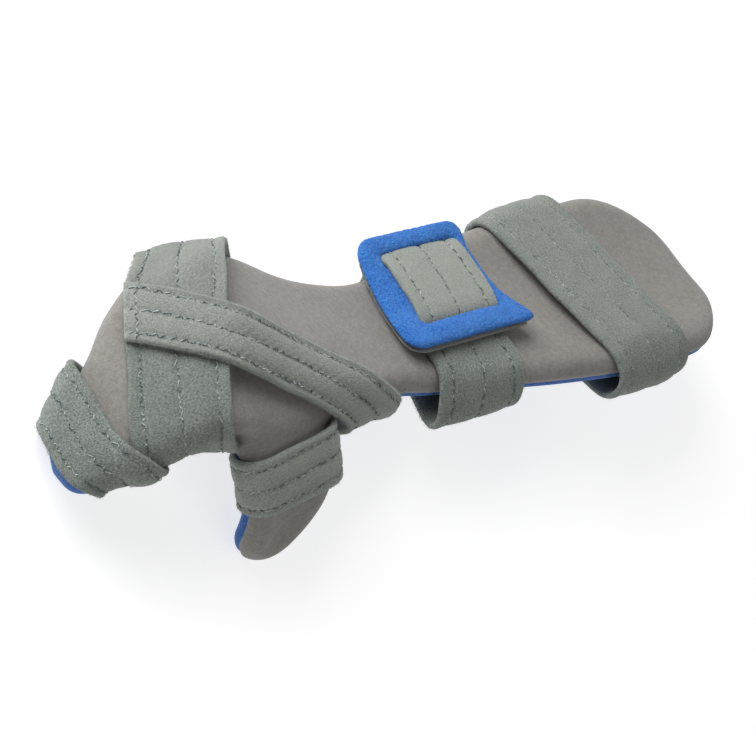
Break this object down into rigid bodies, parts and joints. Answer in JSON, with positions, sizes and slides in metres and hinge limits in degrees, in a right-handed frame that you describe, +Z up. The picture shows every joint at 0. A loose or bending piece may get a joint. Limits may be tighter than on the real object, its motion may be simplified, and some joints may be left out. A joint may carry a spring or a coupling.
{
  "type": "resting hand splint",
  "caption": "Padded resting hand splint for a right hand, grey face and blue back, with plush straps and a blue wrist cushion.",
  "frame": {"origin": "on the floor under the middle of the whole splint's box", "axes": "+X up the forearm towards the elbow end, +Y to the little-finger side, +Z up from the floor"},
  "size_m": [0.3764, 0.1338, 0.0657],
  "materials": {
    "grey_knit": "fine brushed knit over foam, matt",
    "blue_knit": "brushed loop knit over foam, matt",
    "plush": "short-pile plush webbing with zigzag stitching, matt",
    "blue_fleece": "fleecy looped pile, matt"
  },
  "bodies": {
    "root": {"padded_face": "grey_knit", "padded_back": "blue_knit", "forearm_strap": "plush", "wrist_strap": "plush", "hand_strap": "plush", "diagonal_strap": "plush", "finger_strap": "plush", "thumb_strap": "plush", "cushion_backing": "grey_knit", "cushion_face": "blue_fleece"}
  },
  "joints": []
}
